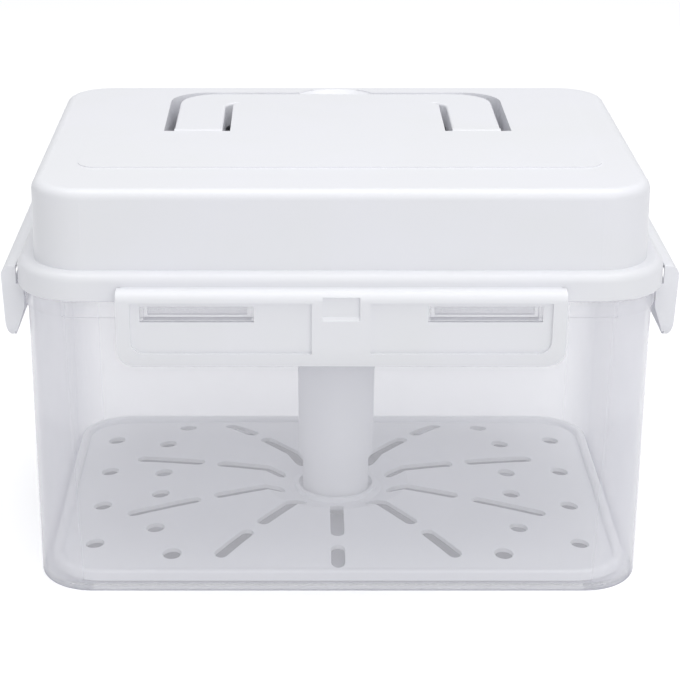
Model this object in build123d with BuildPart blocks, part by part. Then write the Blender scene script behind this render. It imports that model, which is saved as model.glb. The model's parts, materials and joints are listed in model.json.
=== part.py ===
from build123d import *
from math import cos, pi, radians, sin, sqrt
import os

# Fermentation container: a clear tub, a domed lid with a fold-down handle and four locking flaps,
# and a sprung press that hangs under the lid. Millimetres, +Z up. The origin is the centre of the
# footprint on the table, the front faces -Y, and the lid is shown shut with the press at the bottom.

os.makedirs("parts", exist_ok=True)

# Tub
tub_width = 278.4
tub_depth = 194.0
tub_height = 150.5
tub_corner = 26.0
tub_wall = 2.2
tub_floor = 2.6
tub_draft = 0.6
tub_base_round = 2.0
tub_floor_round = 2.0
foot_width = 10.0
foot_recess = 0.7
band_proud = 1.0
band_height = 15.8

# Lid rim and dome
rim_reach = 4.0
rim_wall = 2.0
rim_skirt = 12.5
rim_edge_round = 0.8
flange_plate = 2.0
shoulder_round = 3.7
dome_height = 35.7
dome_width = 271.2
dome_depth = 189.6
dome_corner = 23.0
dome_draft = 0.3
dome_round = 4.5
dome_wall = 2.0
panel_width = 234.0
panel_front = 59.0
panel_back = 85.0
panel_corner = 9.0
panel_rise = 0.5
plug_gap = 0.6
plug_wall = 1.6
plug_depth = 9.0

# Gasket, in the channel between the plug rib and the rim skirt
gasket_width = 3.8
gasket_thickness = 2.8
gasket_plug_gap = 0.2
gasket_seat_gap = 0.2
gasket_round = 0.8

# Handle and its well in the dome
handle_half_width = 77.4
handle_arm = 22.8
handle_back = 78.0
handle_grip = 18.0
handle_corner = 18.0
handle_inner_corner = 8.0
handle_skin = 2.2
handle_edge = 1.1
handle_rib = 1.6
handle_rib_count = 6
handle_hub = 7.5
pivot_y = 9.0
pivot_drop = 5.5
well_outer_gap = 4.6
well_inner_gap = 3.8
well_end_gap = 0.5
well_back_gap = 0.6
well_depth = 19.0
well_wall = 1.8
pin_radius = 2.0
pin_fit = 0.02
pivot_fit = 0.08
pin_boss_radius = 4.6
pin_boss_length = 5.0
scoop_radius = 22.0
scoop_depth = 9.0
scoop_reach = 88.0

# Locking flaps
flap_drop = 5.6
flap_height = 34.7
flap_long = 194.0
flap_short = 144.0
flap_rest_gap = 1.2
flap_head = 7.8
flap_head_round = 4.4
flap_bend_height = 8.8
flap_bend_reach = 6.9
flap_foot = 4.8
flap_foot_skin = 1.8
flap_skin = 3.6
flap_roof = 2.0
flap_rib = 1.8
long_rib_reach = 0.6
short_rib_reach = 2.1
flap_rib_lift = 15.4
flap_rib_drop = 8.4
flap_outline_round = 8.0
flap_top_round = 0.5
film_thickness = 0.5
film_gap = 0.3
film_end_inset = 2.0
panel_margin = 6.0
column_width = 25.4
recess_depth = 1.8
recess_head = 4.9
recess_foot = 6.2
recess_round = 6.0
recess_inner_round = 1.5
window_margin = 4.2
window_share = 0.628
window_drop = 1.8
window_height = 7.3
notch_width = 16.2
notch_drop = 2.2
notch_height = 11.1
notch_depth = 1.9

# Catch lugs on the tub, behind the flap windows
lug_reach = 5.4
lug_end_gap = 1.2
lug_top_gap = 0.6
lug_height = 7.1
lug_wall = 1.8

# Press plate
plate_lift = 0.8
plate_gap = 2.5
plate_corner = 25.2
plate_sheet = 2.0
plate_rise = 8.8
plate_lip = 4.0
plate_lip_height = 5.2
plate_lip_round = 1.5
dish_radius = 38.0
dish_floor_radius = 23.0
dish_depth = 5.2
collar_height = 2.4
collar_radius = 20.3
collar_wall = 1.9
hub_floor = 2.0
hub_drain_radius = 3.0
slot_width = 6.6
slot_rows = 10
inner_slot_start = 26.5
inner_slot_end = 63.0
outer_slot_start = 70.0
outer_slot_long = 107.0
outer_slot_middle = 96.0
outer_slot_short = 85.5
hole_radius = 4.4
hole_end_x = 115.0
hole_end_far_y = 60.8
hole_end_near_y = 20.2
hole_row_x = 87.0
hole_row_far_y = 49.6
hole_row_near_y = 12.5
hole_corner_x = 77.7
hole_corner_y = 74.0

# Telescopic press
slide_gap = 0.3
seat_gap = 0.2
inner_radius = 16.3
inner_wall = 1.5
inner_tube_length = 92.0
inner_floor = 2.0
inner_bead = 0.65
bead_height = 3.0
foot_flange = 2.0
foot_reach = 1.6
snap_bead = 0.8
sleeve_wall = 1.8
sleeve_length = 91.1
sleeve_flare = 0.9
sleeve_flange = 1.1
housing_length = 73.0
housing_wall = 1.6
housing_lip = 2.5
bayonet_reach = 1.7
bayonet_height = 2.2
bayonet_count = 3
bayonet_arc = 44.0
socket_wall = 1.8
cap_plate = 2.0
cap_skirt = 2.5
cap_skirt_wall = 1.5
cap_fit = 0.05
cap_spigot = 6.0
spring_radius = 11.8
spring_wire_radius = 1.0
spring_turns = 12

# Derived heights and reaches
flange_under = tub_height + gasket_seat_gap + gasket_thickness
flange_top = flange_under + flange_plate
rim_bottom = flange_top - rim_skirt
lid_top = flange_top + dome_height
dome_inside_top = lid_top - dome_wall
band_bottom = tub_height - band_height
pivot_z = lid_top - pivot_drop
handle_under = pivot_z - pivot_drop
well_floor = lid_top - well_depth
plug_reach = -tub_wall - plug_gap
lug_bottom = rim_bottom - lug_top_gap - lug_height
plate_bottom = tub_floor + plate_lift
plate_reach = -tub_draft - tub_wall - plate_gap
plate_edge = plate_bottom + plate_sheet
crown_half_width = tub_width / 2 + plate_reach - plate_lip / 2
crown_half_depth = tub_depth / 2 + plate_reach - plate_lip / 2

# Heights of the locking flaps
flap_top = flange_top - flap_drop
flap_bottom = flap_top - flap_height
recess_top = flap_top - recess_head
recess_bottom = flap_bottom + recess_foot
window_middle = recess_top - window_drop - window_height / 2
notch_top = flap_top - notch_drop
notch_bottom = notch_top - notch_height
rib_reach = {flap_long: long_rib_reach, flap_short: short_rib_reach}

# Radii of the telescopic press, from the inner tube outwards
sleeve_inner = inner_radius + slide_gap
sleeve_outer = sleeve_inner + sleeve_wall
sleeve_top_outer = sleeve_outer + sleeve_flare
flange_radius = sleeve_top_outer + sleeve_flange
housing_inner = flange_radius + slide_gap
housing_outer = housing_inner + housing_wall
socket_inner = housing_outer + bayonet_reach + seat_gap
socket_outer = socket_inner + socket_wall

# Heights of the press
hub_top = plate_edge + plate_rise - dish_depth
hub_inside = plate_bottom + hub_floor
collar_top = hub_top + collar_height
inner_foot = hub_inside + seat_gap
inner_top = inner_foot + inner_tube_length
cap_under = dome_inside_top - seat_gap - cap_plate
housing_foot = cap_under - housing_length
sleeve_top = housing_foot + housing_lip + slide_gap + bead_height
sleeve_foot = sleeve_top - sleeve_length
bayonet_seat = cap_under - cap_skirt - 2 * bayonet_height
bayonet_under = bayonet_seat - seat_gap - bayonet_height

# Plate holes in one quarter, and the far ends of the outer slots
outer_slot_ends = [outer_slot_long, outer_slot_middle, outer_slot_short]
hole_spots = [
    (hole_end_x, hole_end_far_y),
    (hole_end_x, hole_end_near_y),
    (hole_row_x, hole_row_far_y),
    (hole_row_x, hole_row_near_y),
    (hole_corner_x, hole_corner_y),
]


def plan(grow, mode=Mode.ADD):
    """Plan outline of the tub's mouth, grown outwards."""
    return RectangleRounded(tub_width + 2 * grow, tub_depth + 2 * grow, tub_corner + grow, mode=mode)


def plate_plan(grow, mode=Mode.ADD):
    """Plan outline of the press plate, grown outwards; its corners are rounder than the tub's."""
    reach = plate_reach + grow
    return RectangleRounded(
        tub_width + 2 * reach, tub_depth + 2 * reach, plate_corner + grow, mode=mode
    )


def dome_plan(grow):
    """Plan outline of the lid's dome, grown outwards."""
    return RectangleRounded(dome_width + 2 * grow, dome_depth + 2 * grow, dome_corner + grow)


# The four sides: name, direction it faces, reach of the rim face from the centre, flap length
sides = [
    ("front", -90, tub_depth / 2 + rim_reach, flap_long),
    ("back", 90, tub_depth / 2 + rim_reach, flap_long),
    ("left", 180, tub_width / 2 + rim_reach, flap_short),
    ("right", 0, tub_width / 2 + rim_reach, flap_short),
]


def side_section(angle, reach):
    """Upright plane across a side: local X runs outwards from the rim face, local Y is height."""
    out = Vector(cos(radians(angle)), sin(radians(angle)), 0)
    return Plane(origin=out * reach, x_dir=out, z_dir=out.cross(Vector(0, 0, 1)))


def side_face(angle, reach):
    """Upright plane along a side, seen from outside: local Y is height."""
    out = Vector(cos(radians(angle)), sin(radians(angle)), 0)
    return Plane(origin=out * reach, x_dir=Vector(0, 0, 1).cross(out), z_dir=out)


def panel_length(length):
    """Length of each of a flap's two recessed panels."""
    return length / 2 - panel_margin - column_width / 2


def panel_centre(length):
    """Distance from the flap's middle to the middle of a panel."""
    return (column_width + panel_length(length)) / 2


def window_length(length):
    """Length of the window slot in a panel."""
    return panel_length(length) * window_share


def window_centre(length):
    """Distance from the flap's middle to the middle of a window, which sits near the flap's end."""
    return length / 2 - panel_margin - window_margin - window_length(length) / 2


# Tub
with BuildPart() as container_body:
    with BuildSketch(Plane.XY):
        plan(-tub_draft)
    with BuildSketch(Plane.XY.offset(tub_height)):
        plan(0)
    loft(ruled=True)
    fillet(container_body.faces().sort_by(Axis.Z)[0].edges(), tub_base_round)
    # Thickened band around the mouth
    with BuildSketch(Plane.XY.offset(band_bottom)):
        plan(band_proud)
    extrude(amount=band_height)
    # Catch lugs: a shelf with an upright lip and closed ends, behind each flap window
    for side_name, side_angle, side_reach, side_length in sides:
        lug_length = window_length(side_length) - 2 * lug_end_gap
        lug_middle = lug_bottom + lug_height / 2
        lug_spread = 2 * window_centre(side_length)
        wall_reach = side_reach - rim_reach
        with BuildSketch(side_face(side_angle, wall_reach - tub_wall / 2)):
            with Locations((0, lug_middle)):
                with GridLocations(lug_spread, 1, 2, 1):
                    Rectangle(lug_length, lug_height)
        extrude(amount=lug_reach + tub_wall / 2)
        with BuildSketch(side_face(side_angle, wall_reach + band_proud)):
            with Locations((0, lug_middle + lug_wall)):
                with GridLocations(lug_spread, 1, 2, 1):
                    Rectangle(lug_length - 2 * lug_wall, lug_height)
        extrude(amount=lug_reach - band_proud - lug_wall, mode=Mode.SUBTRACT)
    # Hollow inside
    with BuildSketch(Plane.XY.offset(tub_floor)):
        plan(-tub_draft - tub_wall)
    with BuildSketch(Plane.XY.offset(tub_height)):
        plan(-tub_wall)
    loft(ruled=True, mode=Mode.SUBTRACT)
    floor_face = container_body.faces().filter_by(Axis.Z).sort_by(SortBy.AREA)[-2:].sort_by(Axis.Z)[-1]
    fillet(floor_face.edges(), tub_floor_round)
    # The tub stands on a foot around its base
    with BuildSketch(Plane.XY):
        plan(-tub_draft - tub_base_round - foot_width)
    extrude(amount=foot_recess, mode=Mode.SUBTRACT)
container_body.part.label = "container_body"
export_step(container_body.part, "parts/container_body.step")


def handle_well(grow):
    """Plan of the U-shaped well around the folded handle, grown outwards."""
    outer_half = handle_half_width + well_outer_gap + grow
    outer_back = handle_back + well_back_gap + grow
    inner_half = handle_half_width - handle_arm - well_inner_gap - grow
    inner_back = handle_back - handle_grip - well_back_gap - grow
    front = pivot_y - pivot_drop - well_end_gap - grow
    RectangleRounded(2 * outer_half, 2 * outer_back, handle_corner + well_back_gap + grow)
    RectangleRounded(
        2 * inner_half, 2 * inner_back, handle_inner_corner - well_back_gap - grow, mode=Mode.SUBTRACT
    )
    with Locations((0, front - dome_depth / 2)):
        Rectangle(dome_width, dome_depth, mode=Mode.SUBTRACT)


def bayonet_segments(outer, inner):
    """Equal segments of a flat ring, spaced evenly round the press's axis."""
    with BuildSketch() as segments:
        for step in range(bayonet_count):
            start = step * 360 / bayonet_count
            with BuildLine():
                low = CenterArc((0, 0), inner, start, bayonet_arc)
                high = CenterArc((0, 0), outer, start, bayonet_arc)
                Line(low @ 0, high @ 0)
                Line(low @ 1, high @ 1)
            make_face()
    return segments.sketch


# Lid
scoop_centre = scoop_reach - scoop_radius
pin_outer_end = handle_half_width + well_outer_gap + pin_boss_length
pin_inner_end = handle_half_width - handle_arm - well_inner_gap - pin_boss_length
with BuildPart() as lid_shell:
    with BuildSketch(Plane.XY.offset(rim_bottom)):
        plan(rim_reach)
    extrude(amount=flange_top - rim_bottom)
    fillet(lid_shell.faces().sort_by(Axis.Z)[-1].edges(), shoulder_round)
    fillet(lid_shell.faces().sort_by(Axis.Z)[0].edges(), rim_edge_round)
    with BuildSketch(Plane.XY.offset(flange_top)):
        dome_plan(0)
    with BuildSketch(Plane.XY.offset(lid_top)):
        dome_plan(-dome_draft)
    loft(ruled=True)
    fillet(lid_shell.faces().sort_by(Axis.Z)[-1].edges(), dome_round)
    # Hollow under the flange, then up into the dome
    with BuildSketch(Plane.XY.offset(rim_bottom)):
        plan(rim_reach - rim_wall)
    extrude(amount=flange_under - rim_bottom, mode=Mode.SUBTRACT)
    with BuildSketch(Plane.XY.offset(flange_under)):
        dome_plan(-dome_wall)
    with BuildSketch(Plane.XY.offset(dome_inside_top)):
        dome_plan(-dome_draft - dome_wall)
    loft(ruled=True, mode=Mode.SUBTRACT)
    # Plug rib that locates inside the tub's wall
    with BuildSketch(Plane.XY.offset(flange_under - plug_depth)):
        plan(plug_reach)
        plan(plug_reach - plug_wall, mode=Mode.SUBTRACT)
    extrude(amount=plug_depth)
    # Slightly raised panel on top
    with BuildSketch(Plane.XY.offset(lid_top)):
        with Locations((0, (panel_back - panel_front) / 2)):
            RectangleRounded(panel_width, panel_back + panel_front, panel_corner)
    extrude(amount=panel_rise)
    # Walls and floor of the handle's well, and the shell under the finger scoop
    with BuildSketch(Plane.XY.offset(well_floor - well_wall)):
        handle_well(well_wall)
    extrude(amount=lid_top - well_floor + well_wall)
    with BuildSketch(Plane.XZ.offset(-scoop_centre)):
        with BuildLine():
            rim_point = (scoop_radius + well_wall, lid_top)
            axis_point = (0, lid_top - scoop_depth - well_wall)
            Line((0, lid_top), rim_point)
            TangentArc(axis_point, rim_point, tangent=(1, 0))
            Line(axis_point, (0, lid_top))
        make_face()
    revolve(axis=Axis((0, scoop_centre, 0), (0, 0, 1)), revolution_arc=180)
    # Pin bosses inside the dome, either side of each arm of the well
    with BuildSketch(Plane.YZ):
        with Locations((pivot_y, pivot_z)):
            Circle(pin_boss_radius)
    extrude(amount=pin_outer_end, both=True)
    with BuildSketch(Plane.YZ):
        with Locations((pivot_y, pivot_z)):
            Circle(pin_boss_radius)
    extrude(amount=pin_inner_end, both=True, mode=Mode.SUBTRACT)
    with BuildSketch(Plane.XY.offset(dome_inside_top)):
        Rectangle(2 * pin_inner_end, 2 * pivot_y + 4 * pin_boss_radius)
    extrude(amount=dome_wall)
    with BuildSketch(Plane.YZ):
        with Locations((pivot_y, pivot_z)):
            Circle(pin_radius + pin_fit)
    extrude(amount=pin_outer_end, both=True, mode=Mode.SUBTRACT)
    # The well and the scoop themselves
    with BuildSketch(Plane.XY.offset(well_floor)):
        handle_well(0)
    extrude(amount=lid_top - well_floor + panel_rise, mode=Mode.SUBTRACT)
    with BuildSketch(Plane.XZ.offset(-scoop_centre)):
        with BuildLine():
            rim_point = (scoop_radius, lid_top)
            axis_point = (0, lid_top - scoop_depth)
            Polyline(axis_point, (0, lid_top + panel_rise), (scoop_radius, lid_top + panel_rise), rim_point)
            TangentArc(axis_point, rim_point, tangent=(1, 0))
        make_face()
    revolve(axis=Axis((0, scoop_centre, 0), (0, 0, 1)), revolution_arc=180, mode=Mode.SUBTRACT)
    # Bayonet socket that the press hangs from
    with BuildSketch(Plane.XY.offset(bayonet_under)):
        Circle(socket_outer)
        Circle(socket_inner, mode=Mode.SUBTRACT)
    extrude(amount=dome_inside_top - bayonet_under)
    with BuildSketch(Plane.XY.offset(bayonet_under)):
        add(bayonet_segments(socket_inner + socket_wall / 2, housing_outer + seat_gap))
    extrude(amount=bayonet_height)
    # Thin film hinges along the rim, one for each flap
    for side_name, side_angle, side_reach, side_length in sides:
        with BuildSketch(side_face(side_angle, side_reach - rim_wall / 2)):
            with Locations((0, flap_top - film_thickness / 2)):
                Rectangle(side_length - 2 * film_end_inset, film_thickness)
        extrude(amount=rim_wall / 2 + flap_rest_gap - film_gap)
lid_shell.part.label = "lid_shell"
export_step(lid_shell.part, "parts/lid_shell.step")

# Gasket
with BuildPart() as lid_gasket:
    with BuildSketch(Plane.XY.offset(tub_height + gasket_seat_gap)):
        plan(plug_reach + gasket_plug_gap + gasket_width)
        plan(plug_reach + gasket_plug_gap, mode=Mode.SUBTRACT)
    extrude(amount=gasket_thickness)
    fillet(lid_gasket.faces().sort_by(Axis.Z)[0].edges(), gasket_round)
lid_gasket.part.label = "lid_gasket"
export_step(lid_gasket.part, "parts/lid_gasket.step")


def handle_plan(shrink, front):
    """Plan of the folded handle behind a front line, shrunk inwards."""
    outer_half = handle_half_width - shrink
    outer_back = handle_back - shrink
    inner_half = handle_half_width - handle_arm + shrink
    inner_back = handle_back - handle_grip + shrink
    RectangleRounded(2 * outer_half, 2 * outer_back, handle_corner - shrink)
    RectangleRounded(2 * inner_half, 2 * inner_back, handle_inner_corner + shrink, mode=Mode.SUBTRACT)
    with Locations((0, front - dome_depth / 2)):
        Rectangle(dome_width, dome_depth, mode=Mode.SUBTRACT)


# Handle
arm_middle = handle_half_width - handle_arm / 2
with BuildPart() as carry_handle:
    with BuildSketch(Plane.XY.offset(handle_under)):
        handle_plan(0, pivot_y)
    extrude(amount=2 * pivot_drop)
    fillet(carry_handle.faces().sort_by(Axis.Z)[-1].edges().filter_by(Axis.X, reverse=True), handle_edge)
    # Round arm ends about the pivot
    for arm_side in (-1, 1):
        with BuildSketch(Plane.YZ.offset(arm_side * arm_middle)):
            with Locations((pivot_y, pivot_z)):
                Circle(pivot_drop)
        extrude(amount=handle_arm / 2, both=True)
    # Cored out from below, with cross ribs left in the grip
    with BuildSketch(Plane.XY.offset(handle_under)):
        handle_plan(handle_skin, pivot_y + handle_hub)
        rib_pitch = 2 * (handle_half_width - handle_arm) / (handle_rib_count - 1)
        with Locations((0, handle_back - handle_grip / 2)):
            with GridLocations(rib_pitch, 1, handle_rib_count, 1):
                Rectangle(handle_rib, handle_grip, mode=Mode.SUBTRACT)
    extrude(amount=2 * pivot_drop - handle_skin, mode=Mode.SUBTRACT)
    with BuildSketch(Plane.YZ):
        with Locations((pivot_y, pivot_z)):
            Circle(pin_radius + pivot_fit)
    extrude(amount=handle_half_width, both=True, mode=Mode.SUBTRACT)
carry_handle.part.label = "carry_handle"
export_step(carry_handle.part, "parts/carry_handle.step")

# Handle pins, pressed into the bosses
for pin_name, pin_side in (("left", -1), ("right", 1)):
    pin_length = pin_outer_end - pin_inner_end
    pin_middle = pin_side * (pin_outer_end + pin_inner_end) / 2
    with BuildPart() as handle_pin:
        with BuildSketch(Plane.YZ.offset(pin_middle)):
            with Locations((pivot_y, pivot_z)):
                Circle(pin_radius)
        extrude(amount=pin_length / 2, both=True)
        chamfer(handle_pin.edges().filter_by(GeomType.CIRCLE), pin_radius / 5)
    handle_pin.part.label = f"handle_pin_{pin_name}"
    export_step(handle_pin.part, f"parts/handle_pin_{pin_name}.step")


def flap_front_line(inset):
    """Outer line of the flap's section, from the roof down to the foot, set back by an amount."""
    head = Vector(flap_head - inset, flap_top - flap_head_round)
    bend = Vector(flap_bend_reach - inset, flap_bottom + flap_bend_height)
    roof = Line((flap_rest_gap, flap_top - inset), (flap_head - flap_head_round, flap_top - inset))
    TangentArc(roof @ 1, head, tangent=(1, 0))
    face = Line(head, bend)
    return TangentArc(bend, (flap_foot - inset, flap_bottom), tangent=face % 1)


def build_flap(angle, reach, length):
    """One locking flap: curved skin, end ribs, two recessed panels with windows and a notch."""
    section = side_section(angle, reach)
    face = side_face(angle, reach)
    with BuildPart() as recess_tool:
        with BuildSketch(face) as panels:
            with Locations((0, (recess_top + recess_bottom) / 2)):
                with GridLocations(2 * panel_centre(length), 1, 2, 1):
                    Rectangle(panel_length(length), recess_top - recess_bottom)
            lower = panels.vertices().group_by(Axis.Y)[0].sort_by(Axis.X)
            inner_corners = [lower[1], lower[2], *panels.vertices().group_by(Axis.Y)[-1]]
            fillet([lower[0], lower[-1]], recess_round)
            fillet(inner_corners, recess_inner_round)
        extrude(amount=2 * flap_head)
        with BuildSketch(section):
            with BuildLine():
                foot = flap_front_line(recess_depth)
                Polyline(
                    foot @ 1,
                    (-flap_head, flap_bottom),
                    (-flap_head, flap_top - recess_depth),
                    (flap_rest_gap, flap_top - recess_depth),
                )
            make_face()
        extrude(amount=length, both=True, mode=Mode.SUBTRACT)
    with BuildPart() as flap:
        with BuildSketch(section):
            with BuildLine():
                foot = flap_front_line(0)
                Polyline(
                    foot @ 1,
                    (flap_foot - flap_foot_skin, flap_bottom),
                    (-rib_reach[length], flap_bottom + flap_rib_lift),
                    (-rib_reach[length], flap_top - flap_rib_drop),
                    (flap_rest_gap, flap_top - flap_rib_drop),
                    (flap_rest_gap, flap_top),
                )
            make_face()
        extrude(amount=length / 2, both=True)
        # Cored out behind the skin, between the end ribs
        with BuildSketch(section):
            with BuildLine():
                Polyline(
                    (-flap_head, flap_bottom),
                    (flap_foot - flap_foot_skin, flap_bottom),
                    (flap_head - flap_skin, flap_top - flap_roof),
                    (-flap_head, flap_top - flap_roof),
                    close=True,
                )
            make_face()
        extrude(amount=length / 2 - flap_rib, both=True, mode=Mode.SUBTRACT)
        # Shallow pocket in the centre column, with a sloping ledge at its foot
        with BuildSketch(section):
            with BuildLine():
                Polyline(
                    (2 * flap_head, notch_top),
                    (flap_head - notch_depth, notch_top),
                    (flap_head - notch_depth, notch_bottom + notch_depth),
                    (flap_head, notch_bottom),
                    (2 * flap_head, notch_bottom),
                    close=True,
                )
            make_face()
        extrude(amount=notch_width / 2, both=True, mode=Mode.SUBTRACT)
        # Outline seen from the front, with rounded lower corners
        with BuildSketch(face.offset(-flap_head)) as outline:
            with Locations((0, (flap_top + flap_bottom) / 2)):
                Rectangle(length, flap_top - flap_bottom)
            fillet(outline.vertices().group_by(Axis.Y)[0], flap_outline_round)
            fillet(outline.vertices().group_by(Axis.Y)[-1], flap_top_round)
        extrude(amount=3 * flap_head, mode=Mode.INTERSECT)
        add(recess_tool.part, mode=Mode.SUBTRACT)
        # Window slots
        with BuildSketch(face):
            with Locations((0, window_middle)):
                with GridLocations(2 * window_centre(length), 1, 2, 1):
                    Rectangle(window_length(length), window_height)
        extrude(amount=2 * flap_head, mode=Mode.SUBTRACT)
    return flap


for side_name, side_angle, side_reach, side_length in sides:
    flap = build_flap(side_angle, side_reach, side_length)
    flap.part.label = f"{side_name}_flap"
    export_step(flap.part, f"parts/{flap.part.label}.step")


def crown_height(x, y):
    """Rise of the plate's pillow above its edge: a parabola across the width, flatter in depth."""
    return plate_rise * (1 - (x / crown_half_width) ** 2) * (1 - (y / crown_half_depth) ** 4)


# Press plate: a block with the pillow and the dished centre for its top, hollowed by its own copy
crown_steps = 20
crown_grid = [
    [
        Vector(x, y, plate_edge + crown_height(x, y))
        for y in (tub_depth * (row / crown_steps - 0.5) for row in range(crown_steps + 1))
    ]
    for x in (tub_width * (column / crown_steps - 0.5) for column in range(crown_steps + 1))
]
crown_face = Face.make_surface_from_array_of_points(crown_grid, min_deg=3)
dish_slope = dish_depth / (dish_radius - dish_floor_radius)
dish_far = 2 * dish_radius
with BuildPart() as plate_block:
    extrude(crown_face, amount=tub_height, dir=(0, 0, -1))
    with BuildSketch(Plane.XY.offset(-tub_height)):
        plate_plan(-plate_lip / 2)
    extrude(amount=2 * tub_height, mode=Mode.INTERSECT)
    with BuildSketch(Plane.XZ):
        with BuildLine():
            Polyline(
                (0, hub_top),
                (dish_floor_radius, hub_top),
                (dish_far, hub_top + dish_slope * (dish_far - dish_floor_radius)),
                (0, hub_top + dish_slope * (dish_far - dish_floor_radius)),
                close=True,
            )
        make_face()
    revolve(axis=Axis.Z, mode=Mode.SUBTRACT)
plate_core = Pos(0, 0, -plate_sheet) * plate_block.part
with BuildPart() as plate_rim:
    with BuildSketch(Plane.XY.offset(plate_bottom)):
        plate_plan(0)
        plate_plan(-plate_lip, mode=Mode.SUBTRACT)
    extrude(amount=plate_lip_height)
    fillet(plate_rim.faces().sort_by(Axis.Z)[-1].edges(), plate_lip_round)
with BuildPart() as press_plate:
    add(plate_block.part)
    add(plate_core, mode=Mode.SUBTRACT)
    add(plate_rim.part)
    # Cup that the tube stands in, with a snap bead inside its collar
    with BuildSketch(Plane.XY.offset(plate_bottom)):
        Circle(collar_radius)
    extrude(amount=collar_top - plate_bottom)
    with BuildSketch(Plane.XY.offset(hub_inside)):
        Circle(collar_radius - collar_wall)
    extrude(amount=collar_top - hub_inside, mode=Mode.SUBTRACT)
    with BuildSketch(Plane.XZ):
        with BuildLine():
            bead_foot = inner_foot + foot_flange + seat_gap
            cup_radius = collar_radius - collar_wall
            Polyline(
                (cup_radius + collar_wall / 2, bead_foot),
                (cup_radius - snap_bead, bead_foot),
                (cup_radius, bead_foot + snap_bead),
                (cup_radius + collar_wall / 2, bead_foot + snap_bead),
                close=True,
            )
        make_face()
    revolve(axis=Axis.Z)
    with BuildSketch(Plane.XY.offset(plate_bottom)):
        Circle(hub_drain_radius)
    extrude(amount=hub_floor, mode=Mode.SUBTRACT)
    # Drain slots: an inner and an outer one in each row
    with BuildSketch(Plane.XY.offset(-tub_height)):
        row_pitch = 360 / slot_rows
        inner_length = inner_slot_end - inner_slot_start - slot_width
        with PolarLocations((inner_slot_start + inner_slot_end) / 2, slot_rows, row_pitch / 2):
            SlotCenterToCenter(inner_length, slot_width)
        for row, slot_end in enumerate(outer_slot_ends):
            row_angle = row_pitch * (row + 0.5)
            outer_length = slot_end - outer_slot_start - slot_width
            for angle in {row_angle, 180 - row_angle, 180 + row_angle, 360 - row_angle}:
                with PolarLocations((outer_slot_start + slot_end) / 2, 1, angle):
                    SlotCenterToCenter(outer_length, slot_width)
        # Round drain holes, mirrored into the four quarters
        for hole_x, hole_y in hole_spots:
            with GridLocations(2 * hole_x, 2 * hole_y, 2, 2):
                Circle(hole_radius)
    extrude(amount=2 * tub_height, mode=Mode.SUBTRACT)
press_plate.part.label = "press_plate"
export_step(press_plate.part, "parts/press_plate.step")

# Inner tube, open at the top, with a foot flange that snaps into the plate's cup
with BuildPart() as inner_tube:
    with BuildSketch(Plane.XZ):
        with BuildLine():
            Polyline(
                (0, inner_foot),
                (inner_radius + foot_reach, inner_foot),
                (inner_radius + foot_reach, inner_foot + foot_flange),
                (inner_radius, inner_foot + foot_flange),
                (inner_radius, inner_top - bead_height),
                (inner_radius + inner_bead, inner_top - bead_height + inner_bead),
                (inner_radius + inner_bead, inner_top),
                (inner_radius - inner_wall, inner_top),
                (inner_radius - inner_wall, inner_foot + inner_floor),
                (0, inner_foot + inner_floor),
                close=True,
            )
        make_face()
    revolve(axis=Axis.Z)
inner_tube.part.label = "inner_tube"
export_step(inner_tube.part, "parts/inner_tube.step")

# Sleeve, flared towards its flanged top
with BuildPart() as press_sleeve:
    with BuildSketch(Plane.XZ):
        with BuildLine():
            Polyline(
                (sleeve_inner, sleeve_foot),
                (sleeve_outer, sleeve_foot),
                (sleeve_top_outer, sleeve_top - bead_height),
                (flange_radius, sleeve_top - bead_height),
                (flange_radius, sleeve_top),
                (sleeve_top_outer - sleeve_wall, sleeve_top),
                close=True,
            )
        make_face()
    revolve(axis=Axis.Z)
press_sleeve.part.label = "press_sleeve"
export_step(press_sleeve.part, "parts/press_sleeve.step")

# Housing, fixed under the dome by three bayonet lugs
with BuildPart() as press_housing:
    with BuildSketch(Plane.XZ):
        with BuildLine():
            Polyline(
                (sleeve_top_outer + slide_gap, housing_foot),
                (housing_outer, housing_foot),
                (housing_outer, cap_under),
                (housing_inner, cap_under),
                (housing_inner, housing_foot + housing_lip),
                (sleeve_top_outer + slide_gap, housing_foot + housing_lip),
                close=True,
            )
        make_face()
    revolve(axis=Axis.Z)
    with BuildSketch(Plane.XY.offset(bayonet_seat)):
        add(bayonet_segments(housing_outer + bayonet_reach, housing_outer - housing_wall / 2))
    extrude(amount=bayonet_height)
press_housing.part.label = "press_housing"
export_step(press_housing.part, "parts/press_housing.step")

# Cap of the housing, with the spigot that centres the spring
with BuildPart() as housing_cap:
    with BuildSketch(Plane.XZ):
        with BuildLine():
            spigot_radius = spring_radius - spring_wire_radius - slide_gap
            skirt_inner = housing_inner - cap_skirt_wall
            Polyline(
                (0, cap_under + cap_plate),
                (housing_outer, cap_under + cap_plate),
                (housing_outer, cap_under),
                (housing_inner - cap_fit, cap_under),
                (housing_inner - cap_fit, cap_under - cap_skirt),
                (skirt_inner, cap_under - cap_skirt),
                (skirt_inner, cap_under),
                (spigot_radius, cap_under),
                (spigot_radius, cap_under - cap_spigot),
                (0, cap_under - cap_spigot),
                close=True,
            )
        make_face()
    revolve(axis=Axis.Z)
housing_cap.part.label = "housing_cap"
export_step(housing_cap.part, "parts/housing_cap.step")

# Compression spring: each half turn of the helix is two arcs that share a tangent
spring_low = inner_foot + inner_floor + seat_gap + spring_wire_radius
spring_high = cap_under - seat_gap - spring_wire_radius
spring_pitch = (spring_high - spring_low) / spring_turns


def helix_point(turn):
    angle = 2 * pi * turn
    return Vector(spring_radius * cos(angle), spring_radius * sin(angle), spring_low + spring_pitch * turn)


def helix_tangent(turn):
    angle = 2 * pi * turn
    run = 2 * pi * spring_radius
    return Vector(-run * sin(angle), run * cos(angle), spring_pitch).normalized()


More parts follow.
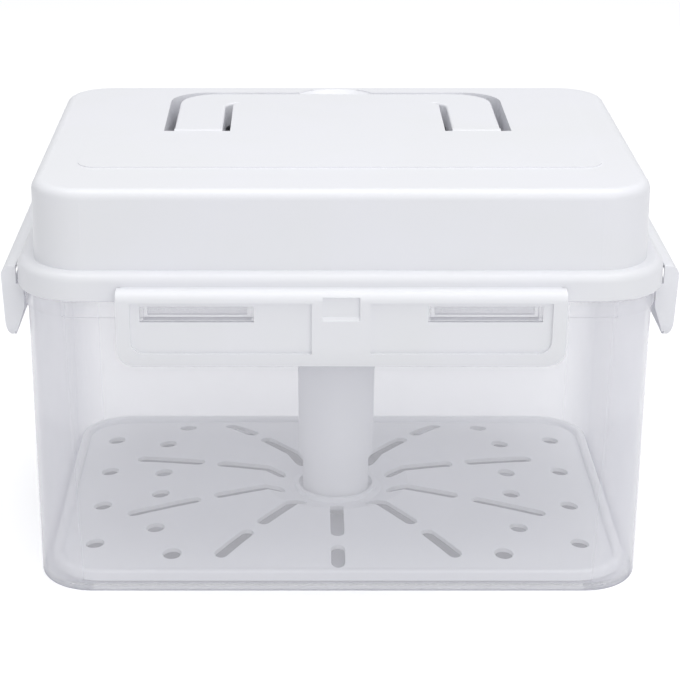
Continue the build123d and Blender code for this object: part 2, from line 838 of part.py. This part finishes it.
with BuildPart() as press_spring:
    with BuildLine() as spring_path:
        for half in range(2 * spring_turns):
            start, end = helix_point(half / 2), helix_point((half + 1) / 2)
            leave, arrive = helix_tangent(half / 2), helix_tangent((half + 1) / 2)
            chord, lean, turned = end - start, leave + arrive, 2 * (1 - leave.dot(arrive))
            reach = (sqrt(chord.dot(lean) ** 2 + turned * chord.dot(chord)) - chord.dot(lean)) / turned
            near, far = start + leave * reach, end - arrive * reach
            TangentArc(start, (near + far) / 2, tangent=leave)
            TangentArc((near + far) / 2, end, tangent=far - near)
    with BuildSketch(Plane(origin=helix_point(0), z_dir=helix_tangent(0))):
        Circle(spring_wire_radius)
    sweep(path=spring_path.wires()[0])
press_spring.part.label = "press_spring"
export_step(press_spring.part, "parts/press_spring.step")

# Least gap between the spring's turns, measured on points along its wire
turn_points = 24
spring_wire = spring_path.wires()[0]
mark_count = turn_points * spring_turns
spring_marks = [spring_wire @ (mark / mark_count) for mark in range(mark_count + 1)]
spring_gap = min(
    (far_mark - near_mark).length
    for index, near_mark in enumerate(spring_marks)
    for far_mark in spring_marks[index + turn_points // 2:]
)
print("spring: least gap to itself", round(spring_gap - 2 * spring_wire_radius, 2), "mm")
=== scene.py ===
# %% [markdown]
# # A fermentation container with a sprung press
# The object is a clear tub with a white domed lid, a handle that folds flush into the dome, four
# locking flaps, and a pressing plate on a telescopic tube that hangs under the lid. Every solid
# comes from the imported CAD frame. This lesson gives each one the finish of the moulding it stands
# for, winds the press spring anew as a swept wire, and lights the whole on a white sweep.

# %% Load the frame
import json
from math import cos, radians, sin, tau
import bmesh
import bpy
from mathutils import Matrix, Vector


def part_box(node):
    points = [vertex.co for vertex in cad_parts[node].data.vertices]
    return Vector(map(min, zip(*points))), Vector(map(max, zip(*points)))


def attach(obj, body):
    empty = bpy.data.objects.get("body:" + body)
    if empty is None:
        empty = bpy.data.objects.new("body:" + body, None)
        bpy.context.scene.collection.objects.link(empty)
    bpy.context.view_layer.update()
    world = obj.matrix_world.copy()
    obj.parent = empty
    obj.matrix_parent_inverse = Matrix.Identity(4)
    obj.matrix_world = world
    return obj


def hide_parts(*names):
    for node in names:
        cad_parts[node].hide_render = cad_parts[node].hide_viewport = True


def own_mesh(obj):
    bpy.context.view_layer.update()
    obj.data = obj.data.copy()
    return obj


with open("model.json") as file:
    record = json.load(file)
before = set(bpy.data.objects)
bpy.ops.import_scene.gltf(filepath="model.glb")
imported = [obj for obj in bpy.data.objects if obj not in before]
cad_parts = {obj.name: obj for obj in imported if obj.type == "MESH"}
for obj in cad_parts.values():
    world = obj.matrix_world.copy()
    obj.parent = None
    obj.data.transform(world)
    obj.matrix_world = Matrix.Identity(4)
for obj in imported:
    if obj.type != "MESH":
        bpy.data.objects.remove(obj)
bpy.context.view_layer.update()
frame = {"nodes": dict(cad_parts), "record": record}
nodes = frame["nodes"]

# %% [markdown]
# ## Tools for building materials
# A moulded surface is never one flat colour: the melt leaves broad, faint streaks where it flowed,
# the steel of the mould leaves a fine grain, and handling leaves hairline scratches. Each of these
# is an effect that several materials share, so each becomes a node group with named sockets.
# Three small helpers keep the node code short.

# %% Node helpers
def new_group(name, inputs, outputs):
    """Shader group with named sockets. An input is (name, kind, start value), an output (name, kind)."""
    group = bpy.data.node_groups.new(name, "ShaderNodeTree")
    for label, kind, value in inputs:
        socket = group.interface.new_socket(label, in_out="INPUT", socket_type=kind)
        socket.default_value = value
    for label, kind in outputs:
        group.interface.new_socket(label, in_out="OUTPUT", socket_type=kind)
    return group, group.nodes.new("NodeGroupInput"), group.nodes.new("NodeGroupOutput")


def add_node(tree, kind, values=None, **settings):
    """Node of a kind, with its settings and the start values of its sockets."""
    node = tree.nodes.new(kind)
    for name, value in settings.items():
        setattr(node, name, value)
    for socket, value in (values or {}).items():
        node.inputs[socket].default_value = value
    return node


def join(tree, *pairs):
    """Links each (output socket, input socket) pair."""
    for source, target in pairs:
        tree.links.new(source, target)


FLOAT, COLOUR = "NodeSocketFloat", "NodeSocketColor"

# %% [markdown]
# ## Shared effect: moulded skin
# Polypropylene that cools in a mould keeps two kinds of unevenness. Flow leaves wide, cloudy
# changes of tint, and the mould's steel leaves a fine grain that breaks up reflections. A noise
# texture at each scale does both. The group reads object coordinates, which are metres in the
# object's own frame, so the grain keeps its size on every piece and moves with it.

# %% Moulded skin group
skin_group, skin_in, skin_out = new_group(
    "Moulded skin",
    [("Colour", COLOUR, (0.8, 0.8, 0.8, 1)), ("Flow colour", COLOUR, (0.7, 0.7, 0.7, 1)),
     ("Flow scale", FLOAT, 14.0), ("Grain scale", FLOAT, 900.0),
     ("Smoothest", FLOAT, 0.3), ("Roughest", FLOAT, 0.4)],
    [("Colour", COLOUR), ("Roughness", FLOAT), ("Height", FLOAT)],
)
skin_place = add_node(skin_group, "ShaderNodeTexCoord")
skin_flow = add_node(skin_group, "ShaderNodeTexNoise", {"Detail": 3.0, "Distortion": 0.6})
skin_grain = add_node(skin_group, "ShaderNodeTexNoise", {"Detail": 2.0, "Roughness": 0.6})
skin_mix = add_node(skin_group, "ShaderNodeMix", data_type="RGBA")
skin_spread = add_node(skin_group, "ShaderNodeMapRange", {"From Min": 0.35, "From Max": 0.65})
skin_rough = add_node(skin_group, "ShaderNodeMapRange", {"From Min": 0.3, "From Max": 0.7})
join(
    skin_group,
    (skin_place.outputs["Object"], skin_flow.inputs["Vector"]),
    (skin_place.outputs["Object"], skin_grain.inputs["Vector"]),
    (skin_in.outputs["Flow scale"], skin_flow.inputs["Scale"]),
    (skin_in.outputs["Grain scale"], skin_grain.inputs["Scale"]),
    (skin_flow.outputs["Fac"], skin_spread.inputs["Value"]),
    (skin_spread.outputs["Result"], skin_mix.inputs["Factor"]),
    (skin_in.outputs["Colour"], skin_mix.inputs["A"]),
    (skin_in.outputs["Flow colour"], skin_mix.inputs["B"]),
    (skin_mix.outputs["Result"], skin_out.inputs["Colour"]),
    (skin_grain.outputs["Fac"], skin_rough.inputs["Value"]),
    (skin_in.outputs["Smoothest"], skin_rough.inputs["To Min"]),
    (skin_in.outputs["Roughest"], skin_rough.inputs["To Max"]),
    (skin_rough.outputs["Result"], skin_out.inputs["Roughness"]),
    (skin_grain.outputs["Fac"], skin_out.inputs["Height"]),
)
print("group:", skin_group.name)

# %% [markdown]
# ## Shared effect: hairline scratches
# Lids and handles that are wiped and stacked pick up scratches far thinner than a hair. A noise
# texture that is stretched along one direction gives long streaks, and a narrow window cut out of
# its values leaves only thin lines. Two such layers at different slants cross each other.

# %% Hairline scratches group
scratch_group, scratch_in, scratch_out = new_group(
    "Hairline scratches",
    [("Scale", FLOAT, 60.0), ("Amount", FLOAT, 0.5)],
    [("Mask", FLOAT)],
)
scratch_place = add_node(scratch_group, "ShaderNodeTexCoord")
scratch_stretch = 26.0
scratch_level = 0.62
scratch_window = 0.006
scratch_slants = (24, -52)
layers = []
for slant in scratch_slants:
    turn = add_node(
        scratch_group, "ShaderNodeMapping",
        {
            "Rotation": (0, radians(slant / 2), radians(slant)),
            "Scale": (1, scratch_stretch, scratch_stretch),
        },
    )
    streaks = add_node(scratch_group, "ShaderNodeTexNoise", {"Detail": 1.0})
    line = add_node(
        scratch_group, "ShaderNodeMath", {1: scratch_level, 2: scratch_window}, operation="COMPARE",
    )
    join(
        scratch_group,
        (scratch_place.outputs["Object"], turn.inputs["Vector"]),
        (turn.outputs["Vector"], streaks.inputs["Vector"]),
        (scratch_in.outputs["Scale"], streaks.inputs["Scale"]),
        (streaks.outputs["Fac"], line.inputs[0]),
    )
    layers.append(line)
scratch_sum = add_node(scratch_group, "ShaderNodeMath", operation="MAXIMUM")
scratch_share = add_node(scratch_group, "ShaderNodeMath", operation="MULTIPLY")
join(
    scratch_group,
    (layers[0].outputs[0], scratch_sum.inputs[0]),
    (layers[1].outputs[0], scratch_sum.inputs[1]),
    (scratch_sum.outputs[0], scratch_share.inputs[0]),
    (scratch_in.outputs["Amount"], scratch_share.inputs[1]),
    (scratch_share.outputs[0], scratch_out.inputs["Mask"]),
)
print("group:", scratch_group.name)

# %% [markdown]
# ## The opaque mouldings
# Lid, handle, flaps and press are white polypropylene with a soft satin gloss. They share one
# recipe: the moulded skin gives colour, roughness and height, and the scratches raise the
# roughness along thin lines. The Principled shader stays in each material, and the values that are
# the same all over the surface are set straight on its own sockets. The press is a little rougher
# than the lid, since its plate and tubes look duller.

# %% White polypropylene
def opaque_finish(name, colour, flow_colour, smoothest, roughest, grain_depth, scratches):
    """Opaque surface: moulded skin plus hairline scratches on a Principled shader."""
    material = bpy.data.materials.new(name)
    material.use_nodes = True
    tree = material.node_tree
    shader = tree.nodes["Principled BSDF"]
    shader.inputs["IOR"].default_value = 1.49
    skin = add_node(tree, "ShaderNodeGroup", node_tree=skin_group)
    skin.inputs["Colour"].default_value = (*colour, 1)
    skin.inputs["Flow colour"].default_value = (*flow_colour, 1)
    skin.inputs["Smoothest"].default_value = smoothest
    skin.inputs["Roughest"].default_value = roughest
    lines = add_node(tree, "ShaderNodeGroup", node_tree=scratch_group)
    lines.inputs["Amount"].default_value = scratches
    worn = add_node(tree, "ShaderNodeMath", operation="ADD", use_clamp=True)
    bump = add_node(tree, "ShaderNodeBump", {"Strength": 1.0, "Distance": grain_depth})
    join(
        tree,
        (skin.outputs["Colour"], shader.inputs["Base Color"]),
        (skin.outputs["Roughness"], worn.inputs[0]),
        (lines.outputs["Mask"], worn.inputs[1]),
        (worn.outputs[0], shader.inputs["Roughness"]),
        (skin.outputs["Height"], bump.inputs["Height"]),
        (bump.outputs["Normal"], shader.inputs["Normal"]),
    )
    print("material:", name)
    return material


lid_finish = opaque_finish(
    "lid_polypropylene", colour=(0.885, 0.888, 0.925), flow_colour=(0.875, 0.88, 0.905),
    smoothest=0.30, roughest=0.40, grain_depth=0.000012, scratches=0.06,
)
flap_finish = opaque_finish(
    "flap_polypropylene", colour=(0.885, 0.888, 0.92), flow_colour=(0.872, 0.878, 0.90),
    smoothest=0.32, roughest=0.42, grain_depth=0.000012, scratches=0.05,
)
press_finish = opaque_finish(
    "press_polypropylene", colour=(0.90, 0.905, 0.925), flow_colour=(0.885, 0.892, 0.91),
    smoothest=0.38, roughest=0.50, grain_depth=0.000018, scratches=0.04,
)

# %% [markdown]
# ## The clear tub
# Natural polypropylene isn't glass. Its crystals scatter light, so a wall hides part of what is
# behind it and adds a pale, faintly violet veil of its own. Glass would bend the plate's holes into
# mirror images in the side walls, which the real tub doesn't show. So the wall is a pale Principled
# shader with low Alpha. Seen face on it is thin and mostly clear. Seen at a slant the eye looks
# along more plastic, so Layer Weight raises the Alpha towards the edges, and the corners draw
# themselves as lines. The foot is a solid ring of plastic, so below a few millimetres of height the
# veil thickens, and there the colour is darkened to a blue-grey as painted shade where the tub
# stands on the floor. Light that reaches the plate inside passes a Transparent shader instead, or
# the veil would dim it.

# %% Clear polypropylene
clearest, cloudiest = 0.20, 0.66
foot_height = 0.0055
foot_veil = 0.85
# painted shade: the bottom few millimetres of the tub are coloured dark blue-grey where it meets the
# floor
foot_painted_shade = (0.31, 0.32, 0.39, 1)
tub_finish = bpy.data.materials.new("tub_polypropylene")
tub_finish.use_nodes = True
tub_tree = tub_finish.node_tree
tub_shader = tub_tree.nodes["Principled BSDF"]
tub_shader.inputs["IOR"].default_value = 1.36
tub_skin = add_node(tub_tree, "ShaderNodeGroup", node_tree=skin_group)
tub_skin.inputs["Colour"].default_value = (0.93, 0.925, 0.975, 1)
tub_skin.inputs["Flow colour"].default_value = (0.91, 0.91, 0.96, 1)
tub_skin.inputs["Flow scale"].default_value = 9.0
tub_skin.inputs["Grain scale"].default_value = 260.0
tub_skin.inputs["Smoothest"].default_value = 0.10
tub_skin.inputs["Roughest"].default_value = 0.18
tub_slant = add_node(tub_tree, "ShaderNodeLayerWeight", {"Blend": 0.5})
tub_veil = add_node(tub_tree, "ShaderNodeMapRange", {"To Min": clearest, "To Max": cloudiest})
tub_see = add_node(tub_tree, "ShaderNodeBsdfTransparent", {"Color": (0.99, 0.99, 1.0, 1)})
tub_place = add_node(tub_tree, "ShaderNodeTexCoord")
tub_level = add_node(tub_tree, "ShaderNodeSeparateXYZ")
tub_foot = add_node(
    tub_tree, "ShaderNodeMapRange",
    {"From Max": foot_height, "To Min": foot_veil, "To Max": 0.0},
)
tub_thick = add_node(tub_tree, "ShaderNodeMath", operation="MAXIMUM")
# mixes the painted shade into the tub's colour below the foot height
tub_shade = add_node(tub_tree, "ShaderNodeMix", {"B": foot_painted_shade}, data_type="RGBA")
tub_path = add_node(tub_tree, "ShaderNodeLightPath")
tub_either = add_node(tub_tree, "ShaderNodeMath", operation="MAXIMUM")
tub_mix = add_node(tub_tree, "ShaderNodeMixShader")
tub_output = tub_tree.nodes["Material Output"]
join(
    tub_tree,
    (tub_place.outputs["Object"], tub_level.inputs["Vector"]),
    (tub_level.outputs["Z"], tub_foot.inputs["Value"]),
    (tub_foot.outputs["Result"], tub_shade.inputs["Factor"]),
    (tub_skin.outputs["Colour"], tub_shade.inputs["A"]),
    (tub_shade.outputs["Result"], tub_shader.inputs["Base Color"]),
    (tub_foot.outputs["Result"], tub_thick.inputs[0]),
    (tub_veil.outputs["Result"], tub_thick.inputs[1]),
    (tub_skin.outputs["Roughness"], tub_shader.inputs["Roughness"]),
    (tub_slant.outputs["Facing"], tub_veil.inputs["Value"]),
    (tub_thick.outputs[0], tub_shader.inputs["Alpha"]),
    (tub_path.outputs["Is Shadow Ray"], tub_either.inputs[0]),
    (tub_path.outputs["Is Diffuse Ray"], tub_either.inputs[1]),
    (tub_either.outputs[0], tub_mix.inputs["Fac"]),
    (tub_shader.outputs["BSDF"], tub_mix.inputs[1]),
    (tub_see.outputs["BSDF"], tub_mix.inputs[2]),
    (tub_mix.outputs["Shader"], tub_output.inputs["Surface"]),
)
print("material:", tub_finish.name)

# %% [markdown]
# ## Silicone and steel
# The gasket is soft translucent silicone, dull and a little warm. The pins and the spring are
# stainless wire, bright but with the faint unevenness that drawing leaves on it.

# %% Gasket and steel
gasket_finish = opaque_finish(
    "gasket_silicone", colour=(0.86, 0.86, 0.83), flow_colour=(0.83, 0.83, 0.80),
    smoothest=0.50, roughest=0.62, grain_depth=0.00001, scratches=0.0,
)
steel_finish = opaque_finish(
    "stainless_steel", colour=(0.62, 0.63, 0.65), flow_colour=(0.55, 0.56, 0.58),
    smoothest=0.16, roughest=0.32, grain_depth=0.000004, scratches=0.1,
)
steel_finish.node_tree.nodes["Principled BSDF"].inputs["Metallic"].default_value = 1.0

# %% [markdown]
# ## The press spring
# The spring is wound from stainless wire and stands between the cap under the dome and the floor of
# the inner tube. When the plate is pushed up, the spring shortens by the plate's whole travel, and a
# rigid solid would poke out through the plate. A curve with a bevel could draw the wire too, but a
# tube swept ring by ring is already a mesh. Each ring stands square to the helix, and the finished
# tube hangs from the lid.

# %% Press spring
spring_turns = 12
coil_radius = 0.0118
wire_radius = 0.001
turn_steps = 24
wire_sides = 8
spring_low, spring_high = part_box("press_spring")
helix_low = spring_low[2] + wire_radius
helix_rise = spring_high[2] - wire_radius - helix_low
tube = bmesh.new()
rings = []
for step in range(spring_turns * turn_steps + 1):
    angle = tau * step / turn_steps
    out = Vector((cos(angle), sin(angle), 0))
    centre = out * coil_radius
    centre.z = helix_low + helix_rise * step / (spring_turns * turn_steps)
    along = Vector((-sin(angle), cos(angle), 0)) * tau * coil_radius
    along.z = helix_rise / spring_turns
    upright = out.cross(along.normalized())
    rings.append([
        tube.verts.new(centre + (out * cos(side) + upright * sin(side)) * wire_radius)
        for side in (tau * index / wire_sides for index in range(wire_sides))
    ])
for lower, upper in zip(rings, rings[1:]):
    for index in range(wire_sides):
        beside = (index + 1) % wire_sides
        tube.faces.new((lower[index], lower[beside], upper[beside], upper[index]))
tube.faces.new(reversed(rings[0]))
tube.faces.new(rings[-1])
bmesh.ops.recalc_face_normals(tube, faces=tube.faces)
for face in tube.faces:
    face.smooth = True
spring_mesh = bpy.data.meshes.new("press_spring_wire")
tube.to_mesh(spring_mesh)
tube.free()
spring_wire = bpy.data.objects.new("press_spring_wire", spring_mesh)
bpy.context.scene.collection.objects.link(spring_wire)
spring_wire.data.materials.append(steel_finish)
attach(spring_wire, "lid")
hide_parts("press_spring")
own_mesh(spring_wire)

# %% [markdown]
# ## Each piece gets its finish
# The record names a material slot for every node. One table ties slots to finishes, so a piece
# that is added later takes its finish from the slot it is given there.

# %% Assign finishes
finishes = {
    "clear_tub": tub_finish,
    "lid_white": lid_finish,
    "flap_white": flap_finish,
    "press_white": press_finish,
    "gasket": gasket_finish,
    "steel": steel_finish,
}
for part in frame["record"]["subparts"]:
    piece = nodes[part["node"]]
    piece.data.materials.clear()
    piece.data.materials.append(finishes[part["material_slot"]])

# %% [markdown]
# ## The floor
# The photograph is a product shot on a white sweep. A wide floor stands for the sweep. Its diffuse
# shader catches the object's shadow, and a little emission that only sight rays see lifts the
# empty floor to white without adding light to the object.

# %% Floor
floor_half = 6.0
floor_mesh = bpy.data.meshes.new("sweep")
sweep = bmesh.new()
corners = [(-floor_half, -floor_half, 0), (floor_half, -floor_half, 0),
           (floor_half, floor_half, 0), (-floor_half, floor_half, 0)]
sweep.faces.new([sweep.verts.new(corner) for corner in corners])
sweep.to_mesh(floor_mesh)
sweep.free()
floor = bpy.data.objects.new("sweep", floor_mesh)
bpy.context.scene.collection.objects.link(floor)
floor_finish = bpy.data.materials.new("white_sweep")
floor_finish.use_nodes = True
floor_tree = floor_finish.node_tree
floor_shader = floor_tree.nodes["Principled BSDF"]
floor_shader.inputs["Base Color"].default_value = (0.82, 0.82, 0.83, 1)
floor_shader.inputs["Roughness"].default_value = 0.9
floor_lift = 0.43
floor_path = add_node(floor_tree, "ShaderNodeLightPath")
floor_sight = add_node(floor_tree, "ShaderNodeMath", operation="MAXIMUM")
floor_any = add_node(floor_tree, "ShaderNodeMath", operation="MAXIMUM")
floor_glow = add_node(floor_tree, "ShaderNodeMath", {1: floor_lift}, operation="MULTIPLY")
floor_shader.inputs["Emission Color"].default_value = (1, 1, 1, 1)
join(
    floor_tree,
    (floor_path.outputs["Is Camera Ray"], floor_sight.inputs[0]),
    (floor_path.outputs["Is Transmission Ray"], floor_sight.inputs[1]),
    (floor_sight.outputs[0], floor_any.inputs[0]),
    (floor_path.outputs["Is Glossy Ray"], floor_any.inputs[1]),
    (floor_any.outputs[0], floor_glow.inputs[0]),
    (floor_glow.outputs[0], floor_shader.inputs["Emission Strength"]),
)
floor.data.materials.append(floor_finish)

# %% [markdown]
# ## World and lamps
# A studio with white walls lights the object from all round, which the world's even glow stands
# for. The world could be white for every ray, but then the sides of the object would be as bright
# as its top. So its glow on the object is about half as strong, and only the eye sees it as white.
# A wide lamp overhead makes the lid's top the brightest face, and a weaker one in front opens the
# shadow on the flap and lets light into the tub.

# %% World and lamps
world = bpy.data.worlds.new("studio")
bpy.context.scene.world = world
world.use_nodes = True
world_tree = world.node_tree
world_tree.nodes["Background"].inputs["Color"].default_value = (0.97, 0.98, 1.0, 1)
world_light = 0.50
world_path = add_node(world_tree, "ShaderNodeLightPath")
world_sight = add_node(world_tree, "ShaderNodeMath", operation="MAXIMUM")
world_level = add_node(world_tree, "ShaderNodeMapRange", {"To Min": world_light, "To Max": 1.0})
join(
    world_tree,
    (world_path.outputs["Is Camera Ray"], world_sight.inputs[0]),
    (world_path.outputs["Is Transmission Ray"], world_sight.inputs[1]),
    (world_sight.outputs[0], world_level.inputs["Value"]),
    (world_level.outputs["Result"], world_tree.nodes["Background"].inputs["Strength"]),
)


def soft_lamp(name, place, size, watts, colour=(1, 1, 1)):
    """Square area lamp at a place, aimed at the middle of the object."""
    lamp = bpy.data.lights.new(name, "AREA")
    lamp.size = size
    lamp.energy = watts
    lamp.color = colour
    holder = bpy.data.objects.new(name, lamp)
    holder.location = place
    aim = Vector((0, 0, 0.1)) - Vector(place)
    holder.rotation_euler = aim.to_track_quat("-Z", "Y").to_euler()
    bpy.context.scene.collection.objects.link(holder)
    return holder


soft_lamp("overhead", (0.1, -0.1, 1.6), 1.5, 14.0)
soft_lamp("front_right", (0.45, -1.5, 0.9), 1.1, 5.6)
print("lights:", [item.name for item in bpy.data.lights])

# %% [markdown]
# ## Camera
# The camera was solved from the photograph: it looks down by about 21 degrees from some 90 cm in
# front of the object's middle. The photograph is cropped, so the camera's axis meets it left of the
# middle, and the lens shift stands for that. Turning the camera instead would set the lid's front
# edge at a slant.

# %% Camera
camera_pitch = 20.8
frame_pixels = 680
focal_pixels = 2000
centre_column = 301.5
sensor = 36.0
camera = bpy.data.cameras.new("photo_camera")
camera.sensor_width = sensor
camera.lens = sensor * focal_pixels / frame_pixels
camera.shift_x = (frame_pixels / 2 - centre_column) / frame_pixels
camera.clip_end = 50
viewer = bpy.data.objects.new("photo_camera", camera)
viewer.location = (-0.0171, -0.9143, 0.4346)
viewer.rotation_euler = (radians(90 - camera_pitch), 0, 0)
bpy.context.scene.collection.objects.link(viewer)
bpy.context.scene.camera = viewer
bpy.context.scene.view_settings.view_transform = "Standard"

# %% [markdown]
# ## Update the view layer
# The view layer is brought up to date.

# %% Update the view layer
bpy.context.view_layer.update()
